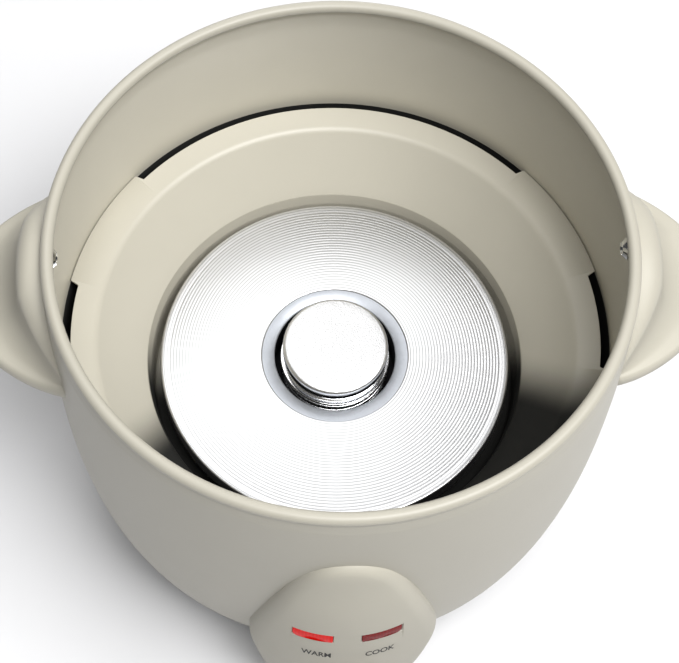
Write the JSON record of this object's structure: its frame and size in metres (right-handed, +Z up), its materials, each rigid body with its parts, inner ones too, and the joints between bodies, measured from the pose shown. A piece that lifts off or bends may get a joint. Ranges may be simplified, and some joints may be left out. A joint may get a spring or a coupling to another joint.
{
  "type": "rice cooker",
  "caption": "Electric rice cooker body with the pot and lid taken out: flared round shell, dished liner, ringed heating plate, sprung thermostat and a front cook lever.",
  "frame": {"origin": "on the body's axis at floor level, under the rubber feet", "axes": "+Z up, -Y towards the control pod and lever, +X towards the right handle, +Y towards the power inlet"},
  "size_m": [0.241, 0.224, 0.152],
  "materials": {
    "greige_enamel": "warm greige matte enamel with a fine soft sheen",
    "greige_plastic": "warm greige satin moulded plastic",
    "machined_aluminium": "turned aluminium with fine concentric grooves",
    "blasted_aluminium": "bead-blasted aluminium with a bright rounded edge",
    "warm_red_lens": "clear bright red lens",
    "cook_red_lens": "clear deep red lens",
    "chromed_steel": "bright chromed screw",
    "spring_steel": "drawn spring wire",
    "plated_steel": "zinc-plated pressed steel",
    "ferrite": "dark sintered ferrite",
    "dark_plastic": "charcoal moulded plastic with a light spark texture",
    "red_plastic": "red moulded plastic",
    "foot_rubber": "soft dark grey rubber",
    "lamp_glass": "small glass neon lamp",
    "white_ceramic": "unglazed white ceramic",
    "lead_insulation": "silicone lead insulation"
  },
  "bodies": {
    "housing": {"outer_shell": "greige_enamel", "inner_liner": "greige_enamel", "handle_left": "greige_plastic", "handle_right": "greige_plastic", "control_pod": "greige_plastic", "power_inlet": "greige_plastic", "heating_plate": "machined_aluminium", "warm_lens": "warm_red_lens", "cook_lens": "cook_red_lens", "handle_screw_left": "chromed_steel", "handle_screw_right": "chromed_steel", "inlet_pin_left": "chromed_steel", "inlet_pin_right": "chromed_steel", "cap_spring": "spring_steel", "release_spring": "spring_steel", "pivot_pin": "plated_steel", "switch_bracket": "plated_steel", "bracket_screw_left": "plated_steel", "bracket_screw_right": "plated_steel", "pod_screw_upper": "plated_steel", "pod_screw_lower": "plated_steel", "inlet_screw_left": "plated_steel", "inlet_screw_right": "plated_steel", "thermostat_sleeve": "plated_steel", "element_terminal_left": "plated_steel", "element_terminal_right": "plated_steel", "fuse_clip": "plated_steel", "support_post_1": "plated_steel", "support_post_2": "plated_steel", "support_post_3": "plated_steel", "base_screw_1": "plated_steel", "base_screw_2": "plated_steel", "base_screw_3": "plated_steel", "base_cover": "dark_plastic", "micro_switch": "dark_plastic", "lamp_holder": "dark_plastic", "foot_1": "foot_rubber", "foot_2": "foot_rubber", "foot_3": "foot_rubber", "foot_4": "foot_rubber", "warm_lamp": "lamp_glass", "cook_lamp": "lamp_glass", "warm_resistor": "white_ceramic", "thermal_fuse": "white_ceramic", "lead_live": "lead_insulation", "lead_fuse": "lead_insulation", "lead_element": "lead_insulation", "lead_neutral": "lead_insulation"},
    "lever": {"lever_arm": "plated_steel", "cook_lever": "greige_plastic"},
    "magnet_carrier": {"magnet": "ferrite", "pull_rod": "plated_steel"},
    "sensor": {"thermostat_cap": "blasted_aluminium", "ferrite_disc": "ferrite"},
    "plunger": {"switch_plunger": "red_plastic"}
  },
  "joints": [
    {"name": "lever_press", "type": "hinge", "parent": "housing", "child": "lever", "pos_m": [0, -0.034, 0.0285], "axis": [1, 0, 0], "range_deg": [0, 7], "stiffness_Nm_per_rad": 0.05, "springref_deg": -17.19},
    {"name": "magnet_lift", "type": "slide", "parent": "housing", "child": "magnet_carrier", "axis": [0, 0, 1], "range_m": [0, 0.0042], "deforming": ["release_spring"]},
    {"name": "plunger_travel", "type": "slide", "parent": "housing", "child": "plunger", "axis": [0, 0, 1], "range_m": [0, 0.0013]},
    {"name": "cap_travel", "type": "slide", "parent": "housing", "child": "sensor", "axis": [0, 0, 1], "range_m": [-0.007, 0], "stiffness_N_per_m": 120, "springref_m": 0.004, "deforming": ["cap_spring"]}
  ],
  "couplings": [
    {"joint": "magnet_lift", "follows": "lever_press", "m_per_rad": 0.034},
    {"joint": "plunger_travel", "follows": "lever_press", "m_per_rad": 0.0099}
  ]
}
